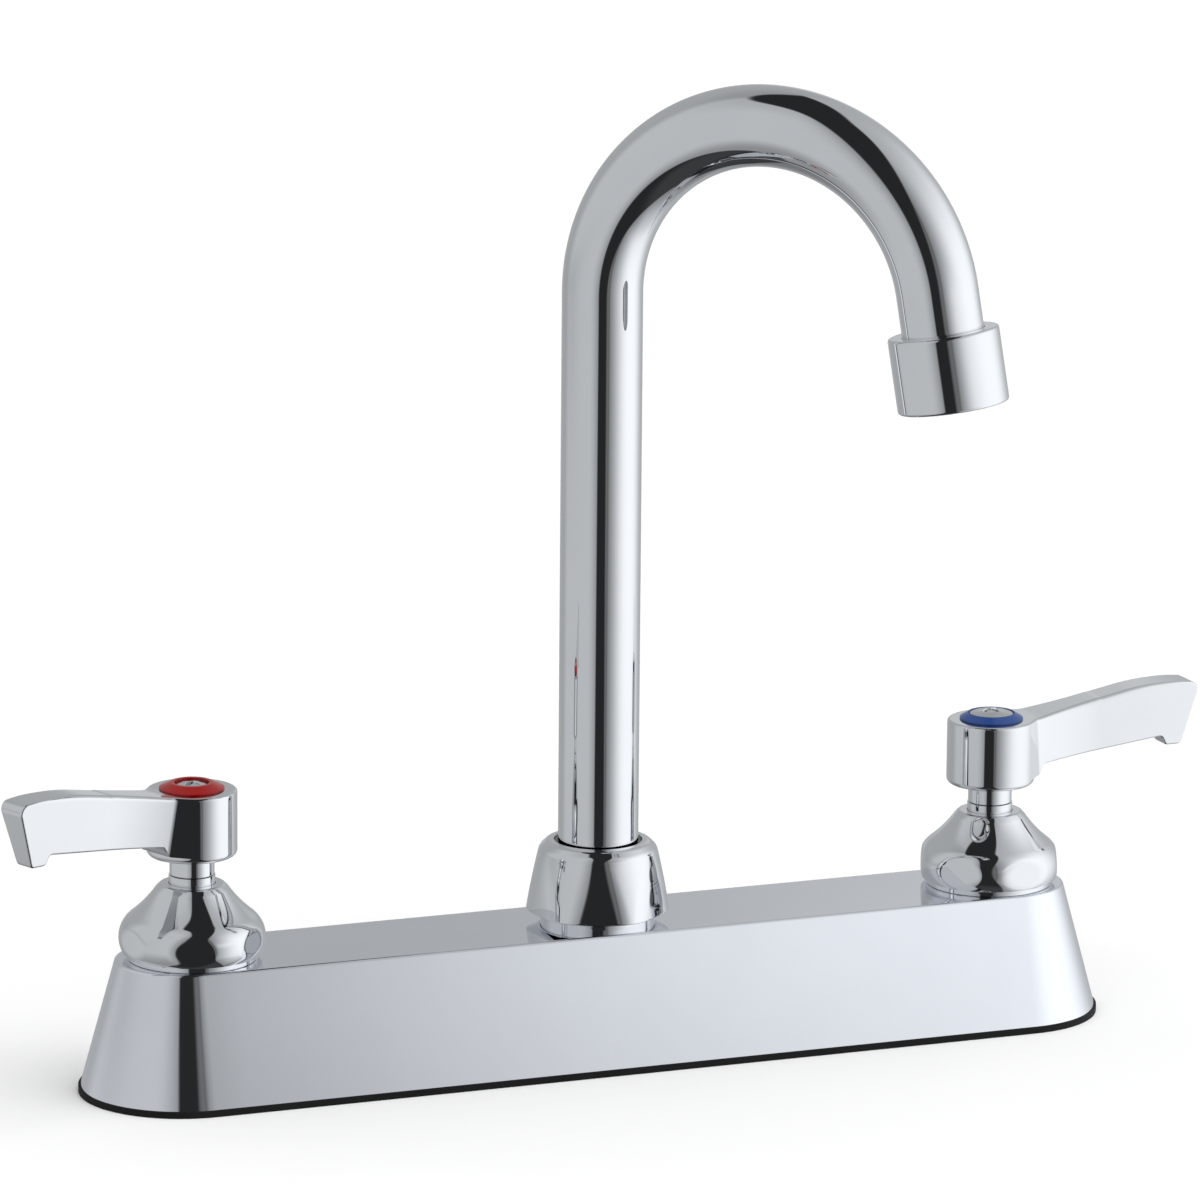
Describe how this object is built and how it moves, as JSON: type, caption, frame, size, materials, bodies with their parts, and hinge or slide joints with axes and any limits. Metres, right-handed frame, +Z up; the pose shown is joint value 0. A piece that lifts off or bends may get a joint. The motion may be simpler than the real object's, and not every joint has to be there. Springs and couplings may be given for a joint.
{
  "type": "gooseneck mixer tap",
  "caption": "Deck-mounted lever mixer tap with a long tapered body, bell-shaped bonnets, colour-marked handles and a swivelling gooseneck spout.",
  "frame": {"origin": "middle of the gasket's underside, on the deck", "axes": "+X along the body from the hot valve to the cold valve, +Y away from the user, +Z up"},
  "size_m": [0.3086, 0.1013, 0.2356],
  "materials": {
    "chrome_plate": "polished",
    "plain_brass": "machined",
    "black_rubber": "matte",
    "white_ceramic": "lapped",
    "white_nylon": "satin",
    "hot_red": "gloss",
    "cold_blue": "gloss",
    "bright_steel": "polished"
  },
  "bodies": {
    "deck": {"base_gasket": "black_rubber", "deck_body": "chrome_plate", "hot_seat_seal": "black_rubber", "cold_seat_seal": "black_rubber", "hot_fixed_disc": "white_ceramic", "cold_fixed_disc": "white_ceramic", "hot_valve_body": "plain_brass", "cold_valve_body": "plain_brass", "hot_bonnet_seal": "black_rubber", "cold_bonnet_seal": "black_rubber", "hot_bonnet": "chrome_plate", "cold_bonnet": "chrome_plate", "spout_post": "chrome_plate", "spout_bearing": "white_nylon", "spout_nut": "chrome_plate"},
    "spout": {"spout_spigot": "plain_brass", "spout_ring_lower": "black_rubber", "spout_ring_upper": "black_rubber", "spout_collar": "plain_brass", "spout_tube": "chrome_plate", "outlet_fitting": "chrome_plate", "aerator_washer": "black_rubber", "aerator_shell": "chrome_plate", "aerator_screen": "bright_steel", "flow_straightener": "white_nylon"},
    "hot_handle": {"hot_lever": "chrome_plate", "hot_index_ring": "hot_red", "hot_screw": "bright_steel", "hot_stem": "plain_brass", "hot_stem_ring": "black_rubber", "hot_moving_disc": "white_ceramic"},
    "cold_handle": {"cold_lever": "chrome_plate", "cold_index_ring": "cold_blue", "cold_screw": "bright_steel", "cold_stem": "plain_brass", "cold_stem_ring": "black_rubber", "cold_moving_disc": "white_ceramic"}
  },
  "joints": [
    {"name": "spout_swivel", "type": "hinge", "parent": "deck", "child": "spout", "pos_m": [0, 0, 0.04], "axis": [0, 0, 1], "continuous": true},
    {"name": "hot_handle_turn", "type": "hinge", "parent": "deck", "child": "hot_handle", "pos_m": [-0.1016, 0, 0.045], "axis": [0, 0, 1], "range_deg": [0, 90]},
    {"name": "cold_handle_turn", "type": "hinge", "parent": "deck", "child": "cold_handle", "pos_m": [0.1016, 0, 0.045], "axis": [0, 0, 1], "range_deg": [-90, 0]}
  ]
}
